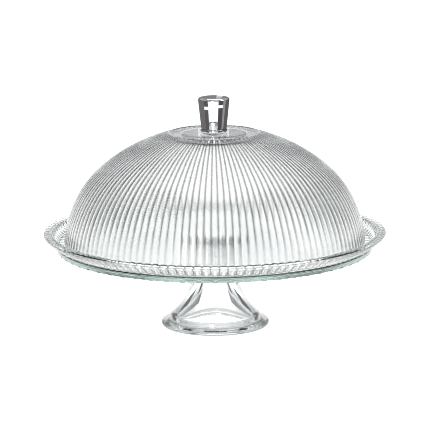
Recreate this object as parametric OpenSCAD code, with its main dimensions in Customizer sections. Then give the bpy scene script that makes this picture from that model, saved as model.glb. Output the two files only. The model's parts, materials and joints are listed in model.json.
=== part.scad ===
// Footed glass cake stand with a loose ribbed glass cover and a metal knob.
// Millimetres, +Z up, origin on the table at the centre of the pedestal's ring.

/* [Plate] */
// Diameter over the rim of the plate
plate_d = 370; // [366:1:390]
// Thickness of the plate's flat disc
plate_t = 8; // [6:0.5:10]
// Height of the rim above the floor of the plate
rim_h = 12; // [9:0.5:16]
// Width of the lip along the top of the rim
lip_w = 10; // [8:0.5:12]

/* [Pedestal] */
// Diameter of the ring that stands on the table
foot_d = 117; // [104:1:130]
// Height of the pedestal, from the table to its top face
foot_h = 84.2; // [76:0.2:100]
// Diameter that the pedestal narrows to
neck_d = 38; // [34:1:46]
// Thickness of the pedestal's wall, measured level
foot_wall = 13; // [10:0.5:14]
// Height of the hollow under the pedestal
hollow_h = 52; // [36:1:60]

/* [Cover] */
// Diameter of the cover where its sides would stand upright
cover_d = 326; // [310:1:330]
// Radius of the arc of the cover's sides, in profile
side_arc_r = 116; // [108:1:120]
// Height that the cover's arcs would reach above their widest level
cover_rise = 132; // [126:1:140]
// Thickness of the cover's wall
cover_wall = 4; // [3:0.5:5]
// Diameter of the flat disc in the crown of the cover
crown_d = 97.6; // [84:0.2:110]

/* [Knob] */
// Diameter of the knob at its top
knob_top_d = 33.8; // [30:0.2:38]
// Diameter of the knob at its foot
knob_foot_d = 27.4; // [24:0.2:29]
// Height of the knob above its base ring
knob_h = 34.8; // [28:0.2:40]
// Diameter of the knob's base ring
ring_d = 29; // [28:0.5:34]

/* [Hidden] */
$fn = 96;

clear_glass = [0.86, 0.89, 0.89];
green_glass = [0.66, 0.80, 0.76];
clear_silicone = [0.90, 0.91, 0.90];
bright_metal = [0.78, 0.79, 0.80];

// How far a cutter runs past the face that it cuts
past = 1;

// Pedestal: a thin ring, a short band, and a trumpet that falls off exponentially to the neck
shoulder_z = 11;
shoulder_r = foot_d / 2 - 9.5;
flare_fall = 24;
mouth_r = shoulder_r - 5;
top_flare = 5;
bond_t = 0.3;

// Plate
z_plate = foot_h + bond_t;
z_floor = z_plate + plate_t;
z_rim = z_floor + rim_h;
rim_r = plate_d / 2;
disc_r = rim_r - 14;

// Cover: the sides are one arc, and a flatter arc over the crown meets it smoothly
cover_drop = 7.5;
z_widest = z_floor - cover_drop;
side_centre = [cover_d / 2 - side_arc_r, z_widest];
crown_arc_r = (pow(cover_rise, 2) + pow(side_centre.x, 2) - pow(side_arc_r, 2))
    / (2 * (cover_rise - side_arc_r));
crown_centre = [0, z_widest + cover_rise - crown_arc_r];
join_angle = atan2(side_centre.y - crown_centre.y, side_centre.x);

// Crown disc: sunk a little below the ribs, and rising to a flat seat for the knob
crown_r = crown_d / 2;
crown_sink = 0.5;
crown_slope = 0.3;
crown_t = 5.5;
seat_r = 34;
z_crown_edge = crown_centre.y + sqrt(pow(crown_arc_r, 2) - pow(crown_r, 2)) - crown_sink;
z_seat = z_crown_edge + crown_slope;
z_ceiling = z_seat - crown_t;

// Knob fastening: an M5 machine screw from inside, on soft washers
hole_r = 4.5;
spigot_r = hole_r - 0.05;
shank_r = 2.5;
bore_r = 2.6;
tapped_r = 2.55;
upper_gasket_t = 0.8;
lower_gasket_t = 1;
washer_t = 1;
ring_h = 3.8;
screw_l = 25;
z_ring = z_seat + upper_gasket_t;
z_knob = z_ring + ring_h;
z_washer = z_ceiling - lower_gasket_t - washer_t;

// Points along an arc in the profile plane, from angle a0 to a1
function arc(centre, r, a0, a1, steps) =
    [for (i = [0 : steps]) let (a = a0 + (a1 - a0) * i / steps) centre + r * [cos(a), sin(a)]];

// Radius of the pedestal at height z, outside and in its hollow
function flare_r(z) = neck_d / 2 + (shoulder_r - neck_d / 2) * exp((shoulder_z - z) / flare_fall);
function hollow_r(z) = min(mouth_r, flare_r(z) - foot_wall);

module flat_ring(r, bore, h) {
    difference() {
        cylinder(r = r, h = h);
        translate([0, 0, -past])
            cylinder(r = bore, h = h + 2 * past);
    }
}

module foot() {
    base_r = foot_d / 2;
    edge_r = 1.7;
    ring_t = 4.2;
    band_w = 1;
    band_z = 5.2;
    step = 4;
    z_top_flare = foot_h - top_flare;
    top_r = flare_r(foot_h) + top_flare;
    roof_h = 7;
    z_roof = hollow_h - roof_h;
    roof_r = hollow_r(z_roof);
    outside = concat(
        arc([base_r - edge_r, edge_r], edge_r, -90, 0, 4),
        arc([base_r - edge_r, ring_t - edge_r], edge_r, 0, 75, 4),
        [[shoulder_r + band_w, band_z], [shoulder_r + band_w / 2, band_z + band_w]],
        [for (z = [shoulder_z : step : z_top_flare - 1]) [flare_r(z), z]],
        arc([top_r, z_top_flare], top_flare, 180, 100, 6),
        [[top_r, foot_h]]
    );
    roof = [for (a = [90 : -15 : 15]) [roof_r * cos(a), z_roof + roof_h * sin(a)]];
    hollow = [for (z = [z_roof : -step : 1]) [hollow_r(z), z]];
    color(clear_glass)
        rotate_extrude()
            polygon(concat([[0, foot_h]], roof, hollow, [[mouth_r, 0]], outside));
}

// Film of clear adhesive between the pedestal and the plate
module foot_bond() {
    color(clear_silicone)
        translate([0, 0, foot_h])
            cylinder(r = flare_r(foot_h) + top_flare - 1, h = bond_t);
}

module plate() {
    under_r = 2.5;
    ledge_w = 1.5;
    ledge_z = z_plate + 6;
    rim_edge_r = 1.8;
    lip_edge_r = 1.5;
    lip_in = rim_r - lip_w;
    fillet_r = 3;
    floor_r = disc_r - 4.5;
    color(green_glass)
        rotate_extrude()
            polygon(concat(
                [[0, z_plate]],
                arc([disc_r - under_r, z_plate + under_r], under_r, -90, 0, 5),
                [[disc_r, ledge_z], [disc_r + ledge_w, ledge_z + 1]],
                arc([rim_r - rim_edge_r, z_rim - rim_edge_r - 0.6], rim_edge_r, -30, 80, 6),
                arc([lip_in + lip_edge_r, z_rim - lip_edge_r], lip_edge_r, 90, 165, 4),
                arc([floor_r, z_floor + fillet_r], fillet_r, -25, -90, 5),
                [[0, z_floor]]
            ));
}

module cover() {
    wall_steps = 20;
    crown_steps = 10;
    side_in_r = side_arc_r - cover_wall;
    crown_in_r = crown_arc_r - cover_wall;
    color(clear_glass)
        rotate_extrude()
            polygon(concat(
                arc(side_centre, side_arc_r, asin(cover_drop / side_arc_r), join_angle, wall_steps),
                arc(crown_centre, crown_arc_r, join_angle, acos((crown_r + 1) / crown_arc_r), crown_steps),
                [[crown_r, z_crown_edge], [seat_r + 1, z_seat - crown_slope], [seat_r, z_seat]],
                [[hole_r, z_seat], [hole_r, z_ceiling]],
                arc(crown_centre, crown_in_r, asin((z_ceiling - crown_centre.y) / crown_in_r),
                    join_angle, crown_steps),
                arc(side_centre, side_in_r, join_angle, asin(cover_drop / side_in_r), wall_steps)
            ));
}

// Soft washer above the glass; its spigot centres the screw in the cover's hole
module upper_gasket() {
    flange_r = ring_d / 2 - 1.5;
    spigot_h = crown_t - 0.2;
    color(clear_silicone)
        difference() {
            union() {
                translate([0, 0, z_seat])
                    cylinder(r = flange_r, h = upper_gasket_t);
                translate([0, 0, z_seat - spigot_h])
                    cylinder(r = spigot_r, h = spigot_h + upper_gasket_t);
            }
            translate([0, 0, z_seat - spigot_h - past])
                cylinder(r = bore_r, h = spigot_h + upper_gasket_t + 2 * past);
        }
}

module lower_gasket() {
    color(clear_silicone)
        translate([0, 0, z_ceiling - lower_gasket_t])
            flat_ring(10, bore_r, lower_gasket_t);
}

module washer() {
    color(bright_metal)
        translate([0, 0, z_washer])
            flat_ring(8, bore_r, washer_t);
}

module knob_base_ring() {
    bulge_r = ring_h / 2;
    color(bright_metal)
        rotate_extrude()
            polygon(concat(
                [[bore_r, z_ring]],
                arc([ring_d / 2 - bulge_r, z_ring + bulge_r], bulge_r, -90, 90, 10),
                [[bore_r, z_knob]]
            ));
}

module knob() {
    foot_r = knob_foot_d / 2;
    top_r = knob_top_d / 2;
    foot_edge = 0.6;
    top_edge_r = 3.4;
    top_crown = 0.9;
    z_top = z_knob + knob_h;
    z_hole_end = z_knob + 16;
    hole_tip = 1.4;
    color(bright_metal)
        rotate_extrude()
            polygon(concat(
                [[tapped_r, z_knob], [foot_r - foot_edge, z_knob], [foot_r, z_knob + foot_edge]],
                arc([top_r - top_edge_r, z_top - top_crown - top_edge_r], top_edge_r, 6, 85, 8),
                [[top_r / 2, z_top - top_crown / 4], [0, z_top]],
                [[0, z_hole_end + hole_tip], [tapped_r, z_hole_end]]
            ));
}

// Pan head machine screw with a cross recess
module screw() {
    head_r = 4.75;
    head_h = 3.2;
    head_edge_r = 1.6;
    z_head = z_washer - head_h;
    recess_l = 5;
    recess_w = 1.2;
    recess_h = 2;
    color(bright_metal)
        difference() {
            union() {
                translate([0, 0, z_washer])
                    cylinder(r = shank_r, h = screw_l);
                rotate_extrude()
                    polygon(concat(
                        [[0, z_washer], [head_r, z_washer]],
                        arc([head_r - head_edge_r, z_head + head_edge_r], head_edge_r, 0, -90, 6),
                        [[0, z_head]]
                    ));
            }
            for (turn = [0, 90])
                rotate([0, 0, turn])
                    translate([-recess_l / 2, -recess_w / 2, z_head - past])
                        cube([recess_l, recess_w, recess_h + past]);
        }
}

foot();
foot_bond();
plate();
cover();
upper_gasket();
lower_gasket();
knob();
knob_base_ring();
washer();
screw();
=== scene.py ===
import json
import math

import bpy
import numpy as np
from mathutils import Matrix, Vector


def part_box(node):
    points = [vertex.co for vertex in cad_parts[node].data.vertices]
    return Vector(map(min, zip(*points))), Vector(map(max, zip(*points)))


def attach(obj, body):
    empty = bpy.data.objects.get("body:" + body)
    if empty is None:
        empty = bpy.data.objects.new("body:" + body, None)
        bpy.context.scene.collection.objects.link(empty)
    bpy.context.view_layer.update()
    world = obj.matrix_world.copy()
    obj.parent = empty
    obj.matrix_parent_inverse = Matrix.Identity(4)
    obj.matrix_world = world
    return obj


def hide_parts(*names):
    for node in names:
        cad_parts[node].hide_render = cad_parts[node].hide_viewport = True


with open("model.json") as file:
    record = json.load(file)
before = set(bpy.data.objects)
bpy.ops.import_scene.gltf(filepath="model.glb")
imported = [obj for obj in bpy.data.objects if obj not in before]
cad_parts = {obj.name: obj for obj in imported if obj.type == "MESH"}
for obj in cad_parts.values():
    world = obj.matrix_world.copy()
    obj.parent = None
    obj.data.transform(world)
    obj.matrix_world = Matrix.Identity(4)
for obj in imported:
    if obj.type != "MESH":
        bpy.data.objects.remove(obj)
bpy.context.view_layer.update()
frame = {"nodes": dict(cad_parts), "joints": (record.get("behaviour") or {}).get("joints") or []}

# The pieces, and the scenery round the knob, are drawn in millimetres and made in metres.
# The rest of the scenery is given in metres.
MM = 0.001
TURN = 2 * math.pi


# ---------------------------------------------------------------- outlines


def low_high(node):
    """The lowest and highest corner of a CAD node, in millimetres."""
    low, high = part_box(node)
    return low / MM, high / MM


def on_arc(centre, radius, degrees):
    """The point at an angle on a circle, in the (radius, height) plane."""
    a = math.radians(degrees)
    return (centre[0] + radius * math.cos(a), centre[1] + radius * math.sin(a))


def arc(centre, radius, start, end, steps):
    """Points along an arc from angle start to end, in degrees."""
    return [on_arc(centre, radius, degrees) for degrees in np.linspace(start, end, steps + 1)]


def line(start, end, steps):
    """Points from start up to, but not including, end."""
    return [
        (start[0] + (end[0] - start[0]) * t, start[1] + (end[1] - start[1]) * t)
        for t in np.linspace(0, 1, steps, endpoint=False)
    ]


def shifted(radius, height, points):
    """Points that are given as (outwards from a radius, above a height)."""
    return [(radius + out, height + up) for out, up in points]


def smooth(x):
    """0 below 0, 1 above 1, and an even S between."""
    x = np.clip(x, 0.0, 1.0)
    return x * x * (3.0 - 2.0 * x)


def fade_in(x, start, length):
    """0 before start, rising to 1 over length."""
    return smooth((x - start) / length)


def within(x, low, high, fade):
    """1 between low and high, falling to 0 over fade outside them."""
    return smooth((x - low) / fade + 1) * smooth((high - x) / fade + 1)


def across(angle, count):
    """Where an angle lies in its repeat: 0 at the middle of a rib or bead, and 1 at the groove."""
    return np.abs((angle * count / TURN + 0.5) % 1.0 - 0.5) * 2


# ---------------------------------------------------------------- meshes


def link(name, data):
    """An object of the scene, made from a mesh, light or camera."""
    thing = bpy.data.objects.new(name, data)
    bpy.context.scene.collection.objects.link(thing)
    return thing


def bridge(first, second):
    """Faces between two rings of vertices.

    One ring has as many vertices as the other or a multiple of them, or is a lone pole.
    """
    many, few = max(len(first), len(second)), min(len(first), len(second))
    if len(first) == 1:
        return [(first[0], second[(k + 1) % many], second[k]) for k in range(many)]
    if len(second) == 1:
        return [(first[k], first[(k + 1) % many], second[0]) for k in range(many)]
    share = many // few
    faces = []
    for k in range(few):
        if len(first) >= len(second):
            fine = [first[(k * share + j) % many] for j in range(share + 1)]
            face = fine + [second[(k + 1) % few], second[k]]
        else:
            fine = [second[(k * share + j) % many] for j in range(share + 1)]
            face = [first[k], first[(k + 1) % few]] + fine[::-1]
        faces.append(face)
    return faces


def lathe(name, stretches, crease=50):
    """A closed solid turned about Z from an anticlockwise outline of (radius, height).

    The outline is given in stretches of (points, steps, relief). relief(radius, height, run,
    angle) gives how far the surface lies below the outline, along its normal, and how much
    painted shade darkens the glass there, where run is the distance along the whole outline. A
    point on the axis becomes one vertex. The mesh carries this painted shade as a point attribute.
    """
    points = np.array([point for stretch in stretches for point in stretch[0]], float)
    along = np.roll(points, -1, 0) - np.roll(points, 1, 0)
    poled = points[0, 0] == 0 and points[-1, 0] == 0
    if poled:
        along[0], along[-1] = points[1] - points[0], points[-1] - points[-2]
    along /= np.linalg.norm(along, axis=1)[:, None]
    run = np.r_[0, np.cumsum(np.linalg.norm(np.diff(points, axis=0), axis=1))]
    verts, painted_shade, rings = [], [], []
    row = 0
    for outline, steps, relief in stretches:
        rows = slice(row, row + len(outline))
        row += len(outline)
        angle = np.arange(steps)[None, :] * TURN / steps
        r, z = points[rows, :1], points[rows, 1:]
        depth = dark = np.zeros((len(outline), steps))
        if relief is not None:
            depth, dark = relief(r, z, run[rows][:, None], angle)
        out_r = r - depth * along[rows, 1:]
        out_z = z + depth * along[rows, :1]
        for k in range(len(outline)):
            first = len(verts)
            count = 1 if r[k, 0] == 0 else steps
            ring = np.stack([out_r[k] * np.cos(angle[0]), out_r[k] * np.sin(angle[0]), out_z[k]], 1)
            verts += (ring[:count] * MM).tolist()
            painted_shade += dark[k, :count].tolist()
            rings.append(range(first, first + count))
    pairs = list(zip(rings, rings[1:])) + ([] if poled else [(rings[-1], rings[0])])
    mesh = bpy.data.meshes.new(name)
    mesh.from_pydata(verts, [], [face for pair in pairs for face in bridge(*pair)])
    mesh.attributes.new("painted_shade", "FLOAT", "POINT").data.foreach_set("value", painted_shade)
    mesh.shade_smooth()
    mesh.set_sharp_from_angle(angle=math.radians(crease))
    return link(name, mesh)


def scenery(name, verts, faces, material):
    """A mesh that belongs to the studio, in metres."""
    mesh = bpy.data.meshes.new(name)
    mesh.from_pydata(verts, [], faces)
    mesh.materials.append(material)
    thing = link(name, mesh)
    return thing


# ---------------------------------------------------------------- materials

GLASS_IOR = 1.52
SILICONE_IOR = 1.41
# How far a face turns from the viewer before painted shade darkens its glass, from 0 to 1
LIMB_START = 0.4
# The colour of the painted shade that darkens glass in its grooves and at its limbs
PAINTED_SHADE_COLOUR = (0.05, 0.055, 0.052)


def new_material(name):
    """A material with a lone Principled node, and its tree."""
    material = bpy.data.materials.new(name)
    material.use_nodes = True
    tree = material.node_tree
    return material, tree, tree.nodes["Principled BSDF"]


def noise(tree, scale, detail, stretch=(1, 1, 1)):
    """Noise in object space, in which a scale of 100 gives features of about a centimetre."""
    where = tree.nodes.new("ShaderNodeTexCoord")
    mapping = tree.nodes.new("ShaderNodeMapping")
    mapping.inputs["Scale"].default_value = stretch
    texture = tree.nodes.new("ShaderNodeTexNoise")
    texture.inputs["Scale"].default_value = scale
    texture.inputs["Detail"].default_value = detail
    tree.links.new(where.outputs["Object"], mapping.inputs["Vector"])
    tree.links.new(mapping.outputs["Vector"], texture.inputs["Vector"])
    return texture.outputs["Fac"]


def ramp(tree, source, low, high, dark, light):
    """Maps source from low..high to a colour from dark to light."""
    node = tree.nodes.new("ShaderNodeValToRGB")
    first, last = node.color_ramp.elements
    first.position, last.position = low, high
    first.color, last.color = (*dark, 1), (*light, 1)
    tree.links.new(source, node.inputs["Fac"])
    return node.outputs["Color"]


def roughen(tree, shader, source, low, high):
    """Sets the roughness, from low to high as source goes from 0 to 1."""
    node = tree.nodes.new("ShaderNodeMapRange")
    node.inputs["To Min"].default_value = low
    node.inputs["To Max"].default_value = high
    tree.links.new(source, node.inputs["Value"])
    tree.links.new(node.outputs["Result"], shader.inputs["Roughness"])


def bump(tree, shader, source, strength, distance=0.0002):
    """Gives the surface fine unevenness, of a depth in metres."""
    node = tree.nodes.new("ShaderNodeBump")
    node.inputs["Strength"].default_value = strength
    node.inputs["Distance"].default_value = distance
    tree.links.new(source, node.inputs["Height"])
    tree.links.new(node.outputs["Normal"], shader.inputs["Normal"])


def glass(name, tint, density, wave, roughness=0.0, limb=0.0):
    """Pressed glass: wavy and tinted by its depth, with painted shade in its grooves and at its
    limbs.
    """
    material, tree, shader = new_material(name)
    shader.inputs["Transmission Weight"].default_value = 1.0
    shader.inputs["IOR"].default_value = GLASS_IOR
    shader.inputs["Roughness"].default_value = roughness
    streaks = noise(tree, scale=9, detail=4, stretch=(1, 1, 2.5))
    clear = ramp(tree, streaks, 0.3, 0.7, dark=(0.975, 0.985, 0.980), light=(1.0, 1.0, 1.0))
    # The mesh's painted shade and the painted shade at grazing limbs pull the base colour towards
    # the shade colour.
    painted_shade = tree.nodes.new("ShaderNodeAttribute")
    painted_shade.attribute_name = "painted_shade"
    mix = tree.nodes.new("ShaderNodeMix")
    mix.data_type = "RGBA"
    mix.inputs["B"].default_value = (*PAINTED_SHADE_COLOUR, 1)
    slant = tree.nodes.new("ShaderNodeLayerWeight")
    slant.inputs["Blend"].default_value = 0.5
    edge = tree.nodes.new("ShaderNodeMapRange")
    edge.inputs["From Min"].default_value = LIMB_START
    edge.inputs["To Max"].default_value = limb
    tree.links.new(slant.outputs["Facing"], edge.inputs["Value"])
    darker = tree.nodes.new("ShaderNodeMath")
    darker.operation = "MAXIMUM"
    tree.links.new(painted_shade.outputs["Fac"], darker.inputs[0])
    tree.links.new(edge.outputs["Result"], darker.inputs[1])
    tree.links.new(darker.outputs["Value"], mix.inputs["Factor"])
    tree.links.new(clear, mix.inputs["A"])
    tree.links.new(mix.outputs["Result"], shader.inputs["Base Color"])
    bump(tree, shader, noise(tree, scale=55, detail=2), strength=wave, distance=0.0006)
    depth = tree.nodes.new("ShaderNodeVolumeAbsorption")
    depth.inputs["Color"].default_value = (*tint, 1)
    depth.inputs["Density"].default_value = density
    tree.links.new(depth.outputs["Volume"], tree.nodes["Material Output"].inputs["Volume"])
    return material


def polished_metal(name):
    """Chrome plate: a mirror with faint polishing marks and small changes of tone."""
    material, tree, shader = new_material(name)
    shader.inputs["Metallic"].default_value = 1.0
    clouds = noise(tree, scale=120, detail=5)
    tone = ramp(tree, clouds, 0.35, 0.7, dark=(0.72, 0.72, 0.735), light=(0.80, 0.80, 0.81))
    tree.links.new(tone, shader.inputs["Base Color"])
    marks = noise(tree, scale=700, detail=6, stretch=(1, 1, 9))
    roughen(tree, shader, marks, 0.02, 0.09)
    bump(tree, shader, marks, strength=0.03)
    return material


def brushed_steel(name):
    """Stainless steel with turning marks."""
    material, tree, shader = new_material(name)
    shader.inputs["Metallic"].default_value = 1.0
    clouds = noise(tree, scale=300, detail=5)
    tone = ramp(tree, clouds, 0.3, 0.7, dark=(0.50, 0.50, 0.51), light=(0.66, 0.66, 0.67))
    tree.links.new(tone, shader.inputs["Base Color"])
    marks = noise(tree, scale=900, detail=8, stretch=(1, 1, 6))
    roughen(tree, shader, marks, 0.18, 0.38)
    bump(tree, shader, marks, strength=0.15)
    return material


def silicone(name, colour):
    """Translucent rubber with a faintly dusty, satin skin."""
    material, tree, shader = new_material(name)
    shader.inputs["IOR"].default_value = SILICONE_IOR
    shader.inputs["Transmission Weight"].default_value = 0.45
    skin = noise(tree, scale=500, detail=5)
    dusty = tuple(0.9 * c for c in colour)
    tree.links.new(ramp(tree, skin, 0.3, 0.75, dusty, colour), shader.inputs["Base Color"])
    roughen(tree, shader, skin, 0.3, 0.5)
    bump(tree, shader, skin, strength=0.1)
    return material


def lit(name, colour, strength):
    """A surface that glows evenly, for scenery."""
    material = bpy.data.materials.new(name)
    material.use_nodes = True
    tree = material.node_tree
    tree.nodes.clear()
    glow = tree.nodes.new("ShaderNodeEmission")
    glow.inputs["Color"].default_value = (*colour, 1)
    glow.inputs["Strength"].default_value = strength
    out = tree.nodes.new("ShaderNodeOutputMaterial")
    tree.links.new(glow.outputs["Emission"], out.inputs["Surface"])
    return material


def lit_within(name, colour, strength):
    """A glow seen from the front of its faces, and nothing at all from behind them."""
    material = lit(name, colour, strength)
    tree = material.node_tree
    side = tree.nodes.new("ShaderNodeNewGeometry")
    clear = tree.nodes.new("ShaderNodeBsdfTransparent")
    mix = tree.nodes.new("ShaderNodeMixShader")
    tree.links.new(side.outputs["Backfacing"], mix.inputs[0])
    tree.links.new(tree.nodes["Emission"].outputs["Emission"], mix.inputs[1])
    tree.links.new(clear.outputs["BSDF"], mix.inputs[2])
    tree.links.new(mix.outputs["Shader"], tree.nodes["Material Output"].inputs["Surface"])
    return material


cover_material = glass("cover_glass", (0.88, 0.92, 0.90), density=7.0, wave=0.06, roughness=0.12)
plate_material = glass("plate_glass", (0.40, 0.72, 0.57), density=2.6, wave=0.05)
# The foot's glass gets painted shade at its limbs.
foot_material = glass("foot_glass", (0.82, 0.86, 0.86), density=8.0, wave=0.04, limb=1.0)
chrome = polished_metal("polished_chrome")
steel = brushed_steel("stainless_steel")
clear_rubber = silicone("clear_silicone", (0.93, 0.94, 0.93))
cured_film = silicone("cured_adhesive", (0.78, 0.80, 0.79))


# ---------------------------------------------------------------- cover

RIBS = 64
FINE_STEPS = RIBS * 20
PLAIN_STEPS = RIBS * 2

# The side is an arc whose centre lies below the edge, and the crown is a wider arc above it.
SIDE_ARC_R = 116.0
SIDE_DROP = 7.5
# Height of the crown's top above that centre
COVER_RISE = 132.0
COVER_WALL = 4.0
COVER_EDGE_R = 1.2
# Degrees by which the side starts above its rounded edge, outside and inside
EDGE_TURN_OUT = 1.2
EDGE_TURN_IN = 1.5

# A ring bounds the crown's disc, and the knob's ring sits on a raised seat in its middle.
CROWN_R = 48.8
CROWN_BEAD = [(0.1, 0.12), (-0.5, 0.22), (-1.1, 0.02)]
CROWN_FILLET = [(-1.5, 0.15), (-2.0, 0.0)]
CROWN_DROP = 0.3
SEAT_R = 34.0
SEAT_FILLET = [(1.0, -0.22), (0.4, -0.05), (0.0, 0.0)]
SEAT_IN_R = 26.0
CEILING_R = 30.0
CEILING_IN_R = 16.0
HOLE_R = 4.5
HOLE_EDGE_R = 0.4
GASKET_T = 0.8
CLEARANCE = 0.03

# The reeds are round, with narrow grooves, and every other one ends in an arch below the crown.
# Their arc, height and grooves are shares of a reed's width. A pair is where something starts to
# fade in, and over how far: along the outline from the edge, or for GROOVE_RISE in height.
REED_ARC_R = 1.7
REED_RAISED = 0.02
REED_RUN = (2.5, 2.0)
RIB_END_GAP = 0.6
RIB_END_BAND = 7.0
# The grooves carry painted shade, in a line of GROOVE_LINE's share that widens at small radii,
# fades in along the outline and is fainter low on the side.
GROOVE_LINE = 0.34
GROOVE_FULL_R = 130.0
GROOVE_RUN = (3.5, 4.0)
GROOVE_FAINT = 0.35
GROOVE_RISE = (10, 30)
ARCH_SPREAD = 0.3
ARCH_RUN = 55.0

# FLUTE_LINE and FLUTE_DARK give the painted shade along the flutes' grooves.
FLUTE_DEPTH = 0.2
FLUTE_LINE = 0.3
FLUTE_DARK = 0.55
# How far the flutes stay from the seat, and from the ring
FLUTE_MARGINS = (3, 2.4)


def make_cover():
    low, high = low_high("cover")
    ceiling = low_high("lower_gasket")[1].z + CLEARANCE
    seat = low_high("knob_base_ring")[0].z - GASKET_T - CLEARANCE
    side = (high.x - math.sqrt(SIDE_ARC_R**2 - SIDE_DROP**2), low.z - SIDE_DROP)
    crown_r = (COVER_RISE**2 + side[0] ** 2 - SIDE_ARC_R**2) / (2 * (COVER_RISE - SIDE_ARC_R))
    crown = (0.0, side[1] + COVER_RISE - crown_r)
    join = math.degrees(math.atan2(side[1] - crown[1], side[0]))
    base = math.degrees(math.asin(SIDE_DROP / SIDE_ARC_R)) + EDGE_TURN_OUT
    last = math.degrees(math.acos((CROWN_R + RIB_END_GAP) / crown_r))
    near = math.degrees(math.acos((CROWN_R + RIB_END_BAND) / crown_r))
    edge_r = COVER_EDGE_R
    disc = seat - CROWN_DROP
    crest = crown[1] + math.sqrt(crown_r**2 - CROWN_R**2)
    ribbed = (
        arc((high.x - edge_r, low.z + edge_r), edge_r, -60, 0, 3)
        + arc(side, SIDE_ARC_R, base, join, 26)
        + arc(crown, crown_r, join, near, 10)[1:]
        + arc(crown, crown_r, near, last, 12)[1:]
    )
    ribbed_run = np.linalg.norm(np.diff(np.array(ribbed), axis=0), axis=1).sum()
    rib_end = float(ribbed_run) - RIB_END_GAP
    top = (
        shifted(CROWN_R, crest, CROWN_BEAD)
        + shifted(CROWN_R, disc, CROWN_FILLET)
        + line((CROWN_R - 2.6, disc), (SEAT_R + 2, disc), 9)
        + shifted(SEAT_R, seat, SEAT_FILLET)
    )
    hub = (
        line((SEAT_IN_R, seat), (HOLE_R + HOLE_EDGE_R, seat), 3)
        + arc((HOLE_R + HOLE_EDGE_R, seat - HOLE_EDGE_R), HOLE_EDGE_R, 90, 180, 2)
        + arc((HOLE_R + HOLE_EDGE_R, ceiling + HOLE_EDGE_R), HOLE_EDGE_R, 180, 270, 2)
    )
    inner_r, side_in = crown_r - COVER_WALL, SIDE_ARC_R - COVER_WALL
    flat = math.degrees(math.asin((ceiling - crown[1]) / inner_r))
    foot_in = math.degrees(math.asin(SIDE_DROP / side_in)) + EDGE_TURN_IN
    inside = (
        [(CEILING_IN_R, ceiling), (CEILING_R, ceiling)]
        + arc(crown, inner_r, flat, join, 10)
        + arc(side, side_in, join, foot_in, 16)[1:]
        + arc((high.x - COVER_WALL + edge_r, low.z + edge_r), edge_r, 190, 270, 3)
        + [(high.x - edge_r - 0.5, low.z)]
    )

    def reeds(r, z, run, angle):
        width = TURN * r / RIBS / 2
        past_end = np.maximum(0, run - rib_end + width / 2)
        off = np.hypot(across(angle, RIBS) * 2, past_end / (width / 2))
        edge = 1 + ARCH_SPREAD * smooth((run - rib_end + ARCH_RUN) / ARCH_RUN)
        reach = np.where(off < edge, off / edge, np.clip((2 - off) / (2 - edge), 0, 1))
        sunk = REED_ARC_R - np.sqrt(REED_ARC_R**2 - (reach / 2) ** 2)
        sunk = sunk + REED_RAISED * smooth(off - 0.5)
        # The dark line along each groove is painted shade.
        share = GROOVE_LINE * np.clip(GROOVE_FULL_R / r, 1.0, 1.5)
        dark = np.exp(-(((1 - reach) / share) ** 2)) * fade_in(run, *GROOVE_RUN)
        dark = dark * (GROOVE_FAINT + (1 - GROOVE_FAINT) * fade_in(z - low.z, *GROOVE_RISE))
        return width * sunk * fade_in(run, *REED_RUN), dark

    def flutes(r, z, run, angle):
        there = within(r, SEAT_R + FLUTE_MARGINS[0], CROWN_R - FLUTE_MARGINS[1], 1.0)
        away = across(angle, RIBS)
        # A line of painted shade along each flute's groove
        dark = FLUTE_DARK * np.exp(-(((1 - away) / FLUTE_LINE) ** 2))
        return there * FLUTE_DEPTH * away**2, there * dark

    stretches = [(ribbed, FINE_STEPS, reeds), (top, FINE_STEPS, flutes), (hub, PLAIN_STEPS, None)]
    piece = lathe("cover_ribbed", stretches + [(inside, PLAIN_STEPS, None)])
    piece.data.materials.append(cover_material)
    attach(piece, "cover")
    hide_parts("cover")


make_cover()


# ---------------------------------------------------------------- plate

BEADS = 128
BEAD_STEPS = 10

# A disc carries a wider rim, whose outer face leans out and whose top is a flat lip.
DISC_INSET = 14.0
LEDGE_H = 6.0
LEDGE_R = 0.5
LEDGE_GROOVE = [(-1.3, 0.3), (-0.6, 0.9)]
FACE_FOOT = 1.2
LIP_W = 10.0
LIP_BAND = 0.9
RIM_EDGE_R = 1.8
RIM_DROOP = 0.6
LIP_EDGE_R = 1.5
UNDER_EDGE_R = 1.2
DISH_R = 3.0

BEAD_DEPTH = 1.3
BEAD_LEAST = 0.25
INNER_BEAD_DEPTH = 0.7
LIP_GROOVE = 0.8
SCALLOP_DEPTH = 0.9
# The radius at which the scallops start to fade in, and over how far
SCALLOP_RUN = (150, 12)
SMALL_SCALLOP = 0.55
# Painted shade in the grooves between beads and on the lip, and on the disc's side under the ledge
GROOVE_DARK = 0.8
DISC_EDGE_SHADE = 0.22


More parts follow.
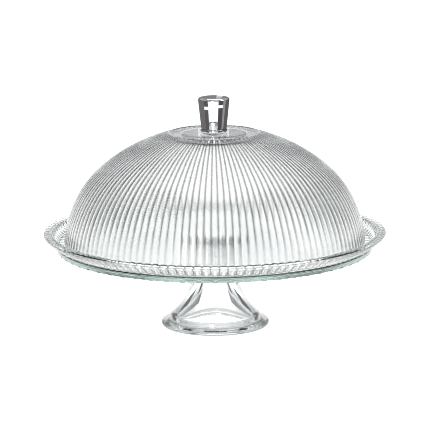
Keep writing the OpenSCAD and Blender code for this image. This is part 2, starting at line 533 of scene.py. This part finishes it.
def make_plate():
    low, high = low_high("plate")
    floor = low_high("cover")[0].z
    rim_r, disc_r = high.x, high.x - DISC_INSET
    ledge = low.z + LEDGE_H
    edge_r, lip_r, under_r = RIM_EDGE_R, LIP_EDGE_R, UNDER_EDGE_R
    lip_in = rim_r - LIP_W
    edge = (rim_r - edge_r, high.z - edge_r - RIM_DROOP)
    face_top = on_arc(edge, edge_r, -30)
    face_low = (disc_r + FACE_FOOT, ledge + FACE_FOOT)
    under = [(0, low.z), (50, low.z), (100, low.z), (140, low.z)]
    relieved = (
        line((150, low.z), (disc_r - under_r, low.z), 8)
        + arc((disc_r - under_r, low.z + under_r), under_r, -90, 0, 5)
        + line((disc_r, low.z + under_r + 1), (disc_r, ledge - 0.7), 2)
        + arc((disc_r - LEDGE_R, ledge - 0.7), LEDGE_R, 0, 80, 3)
        + shifted(disc_r, ledge, LEDGE_GROOVE)
        + line(face_low, face_top, 9)
        + arc(edge, edge_r, -30, 80, 6)
        + line((edge[0] - 0.6, high.z - 0.35), (lip_in + lip_r, high.z), 7)
        + arc((lip_in + lip_r, high.z - lip_r), lip_r, 90, 165, 4)
        + line((lip_in - 0.4, high.z - 3.2), (disc_r - 2, floor + 1.8), 5)
        + arc((disc_r - 4.5, floor + DISH_R), DISH_R, -25, -80, 4)
    )
    dish = [(disc_r - 5.5, floor), (155, floor), (120, floor), (60, floor), (0, floor)]

    def sunk(r, z, run, angle):
        t = across(angle, BEADS)
        outer = (r > disc_r + 0.5) & (z < high.z - 0.5)
        cell = within(z, ledge + 1.8, high.z - 1.6, 1.0)
        bead = BEAD_DEPTH * (1 - (1 - t**2) * (BEAD_LEAST + (1 - BEAD_LEAST) * cell))
        bead = bead * (z > ledge + 0.5) * outer
        on_top = z > high.z - LIP_BAND
        lip = LIP_GROOVE * t**4 * within(r, lip_in + 2.0, rim_r - 3.0, 1.5) * on_top
        inner = (z > floor + 2.5) * (z < high.z - 1.0) * (r < lip_in + 1)
        inner_bead = INNER_BEAD_DEPTH * t**3 * inner
        size = SMALL_SCALLOP + (1 - SMALL_SCALLOP) * np.cos(angle * BEADS / 2)
        scallop = np.sqrt(np.clip(1 - t**2, 0, 1)) * (0.5 + 0.5 * size)
        below = SCALLOP_DEPTH * (1 - scallop) * fade_in(r, *SCALLOP_RUN) * (z < low.z + 1.6)
        on_lip = (r > lip_in + 2) & (r < rim_r - 3) & on_top
        on_edge = (r > disc_r - 1.3) & (r < disc_r + 0.4) & (z < ledge - 0.4)
        # Painted shade in the bead and lip grooves and on the disc's side under the ledge
        dark = GROOVE_DARK * (t**6 * cell * outer + t**8 * on_lip) + DISC_EDGE_SHADE * on_edge
        return bead + lip + inner_bead + below, dark

    fine, plain = BEADS * BEAD_STEPS, BEADS
    stretches = [(under, plain, None), (relieved, fine, sunk), (dish, plain, None)]
    piece = lathe("plate_beaded", stretches, crease=70)
    piece.data.materials.append(plate_material)
    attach(piece, "stand")
    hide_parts("plate")


make_plate()


# ---------------------------------------------------------------- pedestal

FOOT_STEPS = 288
NECK_R = 19.0
FOOT_WALL = 13.0
FOOT_EDGE_R = 1.7
RING_T = 4.2

# The wall falls from the neck to a shoulder on the ring, along an exponential curve.
SHOULDER_Z = 11.0
SHOULDER_INSET = 9.5
FLARE_FALL = 24.0
FLARE_STEP = 1.6
TOP_FLARE_R = 5.0
TOP_EDGE = [(-0.3, -0.1), (-1.0, 0.0)]

# The hollow is open below, and closed by a round roof.
HOLLOW_H = 52.0
HOLLOW_STEP = 1.5
MOUTH_INSET = 5.0
MOUTH_EDGE_R = 1.0
ROOF_H = 7.0

# Painted shade on the glass at the ring's edge, in the seam above the ring and in the neck, which
# starts to darken at a height, and is darkest some way above it
RING_EDGE_SHADE = 0.6
SEAM_SHADE = 0.9
NECK_SHADE = 0.5
NECK_SHADE_RUN = (58.0, 8.0)


def make_foot():
    high = low_high("foot")[1]
    base_r = high.x
    shoulder_r = base_r - SHOULDER_INSET
    mouth_r = shoulder_r - MOUTH_INSET

    def flare(z):
        return NECK_R + (shoulder_r - NECK_R) * math.exp((SHOULDER_Z - z) / FLARE_FALL)

    def hollow(z):
        return min(mouth_r, flare(z) - FOOT_WALL)

    edge_r = FOOT_EDGE_R
    z_flare, z_roof = high.z - TOP_FLARE_R, HOLLOW_H - ROOF_H
    top_r = flare(high.z) + TOP_FLARE_R
    roof = [
        (hollow(z_roof) * math.cos(math.radians(a)), z_roof + ROOF_H * math.sin(math.radians(a)))
        for a in range(80, 0, -10)
    ]
    outline = (
        [(0, HOLLOW_H)]
        + roof
        + [(hollow(z), z) for z in np.arange(z_roof, 6.5, -HOLLOW_STEP)]
        + line((mouth_r, 4.5), (mouth_r, MOUTH_EDGE_R), 2)
        + arc((mouth_r + MOUTH_EDGE_R, MOUTH_EDGE_R), MOUTH_EDGE_R, 180, 270, 4)
        + [(mouth_r + 3, 0), (base_r - edge_r - 3, 0)]
        + arc((base_r - edge_r, edge_r), edge_r, -90, 0, 6)
        + arc((base_r - edge_r, RING_T - edge_r), edge_r, 0, 80, 6)
        + line((base_r - 3.2, RING_T + 0.15), (shoulder_r + 2, 5.1), 3)
        + arc((shoulder_r + 1.9, 6.4), 1.2, 260, 190, 4)
        + [(shoulder_r + 0.3, 8.2)]
        + [(flare(z), z) for z in np.arange(SHOULDER_Z, z_flare - 1, FLARE_STEP)]
        + arc((top_r, z_flare), TOP_FLARE_R, 180, 96, 8)
        + shifted(top_r, high.z, TOP_EDGE)
        + [(top_r / 2, high.z), (0, high.z)]
    )

    def painted_foot_shade(r, z, run, angle):
        # Painted shade at the ring's edge, in the seam and up the neck
        edge = RING_EDGE_SHADE * within(z, 0.4, 1.6, 0.7) * (r > base_r - 1.4)
        on_seam = within(z, 4.9, 7.6, 0.6) * within(r, shoulder_r + 0.2, shoulder_r + 2.4, 0.8)
        neck = NECK_SHADE * fade_in(z, *NECK_SHADE_RUN)
        dark = np.zeros_like(angle) + edge + SEAM_SHADE * on_seam + neck
        return np.zeros_like(dark), dark

    piece = lathe("pedestal_turned", [(outline, FOOT_STEPS, painted_foot_shade)])
    piece.data.materials.append(foot_material)
    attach(piece, "stand")
    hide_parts("foot")


make_foot()


# ---------------------------------------------------------------- knob

KNOB_STEPS = 192
KNOB_FOOT_R = 13.7
KNOB_FOOT_EDGE_R = 0.7
KNOB_EDGE_R = 3.4
KNOB_CROWN = 0.9
# Points of the domed top: (share of its radius, depth below the top)
KNOB_DOME = [(0.62, 0.32), (0.4, 0.12), (0.2, 0.03), (0.0, 0.0)]
TAPPED_R = 2.55
TAPPED_DEPTH = 16.0
DRILL_POINT = 1.4


def make_knob():
    low, high = low_high("knob")
    top_r, edge_r = high.x, KNOB_EDGE_R
    centre = (top_r - edge_r, high.z - KNOB_CROWN - edge_r)
    foot_r, foot_edge_r = KNOB_FOOT_R, KNOB_FOOT_EDGE_R
    outline = (
        [(0, low.z + TAPPED_DEPTH + DRILL_POINT)]
        + line((TAPPED_R, low.z + TAPPED_DEPTH), (TAPPED_R, low.z), 2)
        + line((TAPPED_R, low.z), (foot_r - foot_edge_r, low.z), 3)
        + arc((foot_r - foot_edge_r, low.z + foot_edge_r), foot_edge_r, -90, 0, 5)
        + line((foot_r + 0.1, low.z + 1.4), on_arc(centre, edge_r, 5), 8)
        + arc(centre, edge_r, 5, 82, 12)
        + [(top_r * share, high.z - depth) for share, depth in KNOB_DOME]
    )
    piece = lathe("knob_polished", [(outline, KNOB_STEPS, None)])
    piece.data.materials.append(chrome)
    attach(piece, "knob_set")
    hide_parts("knob")


RING_BORE_R = 2.6
RING_BULGE = 0.92
RING_NECK = 0.35


def make_base_ring():
    low, high = low_high("knob_base_ring")
    bulge_r = (high.z - low.z) / 2 * RING_BULGE
    crest_r = high.x - bulge_r
    outline = (
        line((RING_BORE_R, low.z), (crest_r, low.z), 3)
        + arc((crest_r, low.z + bulge_r), bulge_r, -90, 80, 12)
        + shifted(crest_r, high.z, [(-0.2, -RING_NECK), (-0.7, -RING_NECK * 0.2)])
        + line((crest_r - 1.2, high.z), (RING_BORE_R, high.z), 3)
        + [(RING_BORE_R, high.z)]
    )
    piece = lathe("knob_base_ring_polished", [(outline, KNOB_STEPS, None)])
    piece.data.materials.append(chrome)
    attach(piece, "knob_set")
    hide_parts("knob_base_ring")


make_knob()
make_base_ring()


# ---------------------------------------------------------------- small parts kept from the frame

KEPT_NODES = {
    "foot_bond": cured_film,
    "upper_gasket": clear_rubber,
    "lower_gasket": clear_rubber,
    "washer": steel,
    "screw": steel,
}
for node, material in KEPT_NODES.items():
    mesh = frame["nodes"][node].data
    mesh.materials.clear()
    mesh.materials.append(material)


# ---------------------------------------------------------------- floor and cards


def seen_by(thing, kind):
    """Hides a thing from every kind of ray but one."""
    for other in ("camera", "diffuse", "glossy", "transmission", "shadow", "volume_scatter"):
        setattr(thing, "visible_" + other, other == kind)


def quad(name, corners, material):
    return scenery(name, corners, [(0, 1, 2, 3)], material)


FLOOR_R = 12.0
FLOOR_Z = -0.0005
FLOOR_GLOW = 1.15


def make_floor():
    material, tree, shader = new_material("floor_white")
    shader.inputs["Roughness"].default_value = 0.9
    shader.inputs["Emission Strength"].default_value = FLOOR_GLOW
    shader.inputs["Emission Color"].default_value = (1.0, 1.0, 1.0, 1)
    clouds = noise(tree, scale=6, detail=2)
    tone = ramp(tree, clouds, 0.3, 0.7, dark=(0.30, 0.30, 0.30), light=(0.32, 0.32, 0.32))
    tree.links.new(tone, shader.inputs["Base Color"])
    signs = [(-1, -1), (1, -1), (1, 1), (-1, 1)]
    quad("floor", [(FLOOR_R * x, FLOOR_R * y, FLOOR_Z) for x, y in signs], material)


make_floor()

# Dark cards lie and stand round the table, and only rays that pass through glass see them.
CARDS = 8
# Half the angle that a card takes up, then its nearest and furthest distance from the axis
CARD_HALF = math.radians(8.5)
CARD_NEAR = 0.62
CARD_FAR = 3.2
CARD_LYING_Z = 0.001
CARD_TOP = 1.3


def make_cards():
    material = lit("card_dark", (0.80, 0.86, 0.88), 0.10)
    for k in range(CARDS):
        middle = TURN * (k + 0.5) / CARDS
        left, right = [
            (math.sin(a), math.cos(a)) for a in (middle - CARD_HALF, middle + CARD_HALF)
        ]
        lying = [(left, CARD_NEAR), (right, CARD_NEAR), (right, CARD_FAR), (left, CARD_FAR)]
        lying = [(x * r, y * r, CARD_LYING_Z) for (x, y), r in lying]
        standing = [(left, 0.0), (right, 0.0), (right, CARD_TOP), (left, CARD_TOP)]
        standing = [(x * CARD_FAR, y * CARD_FAR, z) for (x, y), z in standing]
        seen_by(quad(f"card_lying_{k}", lying, material), "transmission")
        seen_by(quad(f"card_standing_{k}", standing, material), "transmission")


make_cards()

# A small screen stands round the knob: only mirrors show it, and only from within. It stands
# where the knob rests, and again where the knob is when the cover is lifted off. Its heights
# are above its own foot, which is just under the knob's ring.
SCREEN_BELOW = 0.13
SCREEN_FOOT_Z = low_high("knob_base_ring")[0].z - SCREEN_BELOW
SCREEN_H = 44.8
SCREEN_R = 35.0
SCREEN_STEP = 4
SCREEN_FOOT_R = 15.0
SCREEN_FOOT_SHARE = 0.63
SCREEN_TINT = (1.0, 0.93, 0.97)
# Start and end in degrees from the front, to the right, then a gap's heights, then grey level
SCREEN_PARTS = [
    (27, 59, (21.0, 24.0), 0.10),
    (59, 78, (), 0.38),
    (78, 152, (), 0.14),
    (-34, -62, (18.8, 22.3), 0.13),
    (-62, -150, (), 0.20),
]


def screen(name, angles, low, high, material):
    """One piece of the knob's screen, facing the knob: a strip between two arcs.

    low and high are (radius, height, share), where share scales the angles of that edge.
    """
    verts = []
    for radius, z, share in (low, high):
        for a in np.radians(angles * share):
            verts.append((radius * MM * math.sin(a), -radius * MM * math.cos(a), z * MM))
    count = len(angles)
    faces = [(k, k + 1, count + k + 1, count + k) for k in range(count - 1)]
    if angles[-1] > angles[0]:
        faces = [face[::-1] for face in faces]
    seen_by(scenery(name, verts, faces, material), "glossy")


def make_screens():
    lift = next(joint["range_m"] for joint in frame["joints"] if joint["name"] == "cover_lift")
    for k, (start, end, gap, grey) in enumerate(SCREEN_PARTS):
        material = lit_within(f"screen_{k}", SCREEN_TINT, grey)
        angles = np.linspace(start, end, max(3, round(abs(end - start) / SCREEN_STEP) + 1))
        levels = [0.0, *gap, SCREEN_H]
        for j, height in enumerate(lift):
            foot_z = SCREEN_FOOT_Z + height / MM
            foot_edge = (SCREEN_FOOT_R, foot_z, SCREEN_FOOT_SHARE)
            screen(f"screen_{k}_{j}_foot", angles, foot_edge, (SCREEN_R, foot_z, 1), material)
            for n, (low, high) in enumerate(zip(levels[::2], levels[1::2])):
                low_edge, high_edge = (SCREEN_R, foot_z + low, 1), (SCREEN_R, foot_z + high, 1)
                screen(f"screen_{k}_{j}_{n}", angles, low_edge, high_edge, material)


make_screens()

# Two cards beyond the knob grey its top, and the space between them leaves a highlight.
TOP_CARDS = [(-50.0, 3.5), (11.5, 50.0)]
TOP_CARD_Y = 50.0
TOP_CARD_LOW, TOP_CARD_HIGH = SCREEN_FOOT_Z + 40.8, SCREEN_FOOT_Z + 73.8


def make_top_cards():
    material = lit("top_card_grey", (1.0, 0.98, 0.99), 0.27)
    for k, (left, right) in enumerate(TOP_CARDS):
        places = [(left, TOP_CARD_LOW), (right, TOP_CARD_LOW)]
        places += [(right, TOP_CARD_HIGH), (left, TOP_CARD_HIGH)]
        corners = [(x * MM, TOP_CARD_Y * MM, z * MM) for x, z in places]
        seen_by(quad(f"top_card_{k}", corners, material), "glossy")


make_top_cards()


# ---------------------------------------------------------------- light

LIGHT_TARGET = Vector((0, 0, 0.12))


def softbox(name, place, size, power):
    """A rectangular light, aimed at the middle of the object."""
    data = bpy.data.lights.new(name, "AREA")
    data.shape = "RECTANGLE"
    data.size, data.size_y = size
    data.energy = power
    thing = link(name, data)
    thing.location = place
    thing.rotation_euler = (LIGHT_TARGET - Vector(place)).to_track_quat("-Z", "Y").to_euler()


softbox("light_over", (0.1, 0.2, 1.6), (1.4, 1.2), 9)
softbox("light_front", (-0.35, -2.3, 1.0), (0.55, 1.5), 16)
softbox("light_side", (1.6, -0.5, 0.9), (0.5, 1.2), 7)

# Brightness of the surroundings: (share of the way from straight down to straight up, colour)
SKY = [(0.52, (1.15, 1.15, 1.15)), (0.62, (0.62, 0.64, 0.66)), (0.95, (0.30, 0.31, 0.33))]


def make_world():
    world = bpy.data.worlds.new("studio")
    bpy.context.scene.world = world
    world.use_nodes = True
    tree = world.node_tree
    where = tree.nodes.new("ShaderNodeTexCoord")
    split = tree.nodes.new("ShaderNodeSeparateXYZ")
    height = tree.nodes.new("ShaderNodeMapRange")
    height.inputs["From Min"].default_value = -1.0
    shade = tree.nodes.new("ShaderNodeValToRGB")
    stops = shade.color_ramp.elements
    stops.new(SKY[-1][0])
    for stop, (position, colour) in zip(stops, SKY):
        stop.position, stop.color = position, (*colour, 1)
    tree.links.new(where.outputs["Generated"], split.inputs["Vector"])
    tree.links.new(split.outputs["Z"], height.inputs["Value"])
    tree.links.new(height.outputs["Result"], shade.inputs["Fac"])
    tree.links.new(shade.outputs["Color"], tree.nodes["Background"].inputs["Color"])
    tree.nodes["Background"].inputs["Strength"].default_value = 1.0


make_world()


# ---------------------------------------------------------------- camera

CAMERA_ELEVATION = math.radians(11.67)
CAMERA_DISTANCE = 2.4
CAMERA_ROLL = math.radians(-0.42)
CAMERA_LENS = 185.9
CAMERA_SHIFT = 0.001
LOOK_AT = Vector((0, 0, 0.120))


def make_camera():
    lens = bpy.data.cameras.new("camera")
    lens.lens = CAMERA_LENS
    lens.sensor_width = 36.0
    lens.shift_x = CAMERA_SHIFT
    lens.clip_start, lens.clip_end = 0.05, 60
    camera = link("camera", lens)
    back = Vector((0, -math.cos(CAMERA_ELEVATION), math.sin(CAMERA_ELEVATION)))
    roll = Matrix.Rotation(CAMERA_ROLL, 3, "Z")
    turn = (-back).to_track_quat("-Z", "Y").to_matrix() @ roll
    camera.matrix_world = Matrix.Translation(LOOK_AT + back * CAMERA_DISTANCE) @ turn.to_4x4()
    bpy.context.scene.camera = camera


make_camera()

scene = bpy.context.scene
scene.view_settings.view_transform = "Standard"
scene.cycles.max_bounces = 32
scene.cycles.transmission_bounces = 32
scene.cycles.glossy_bounces = 12
scene.cycles.diffuse_bounces = 3
scene.cycles.use_denoising = True
scene.cycles.filter_width = 1.0
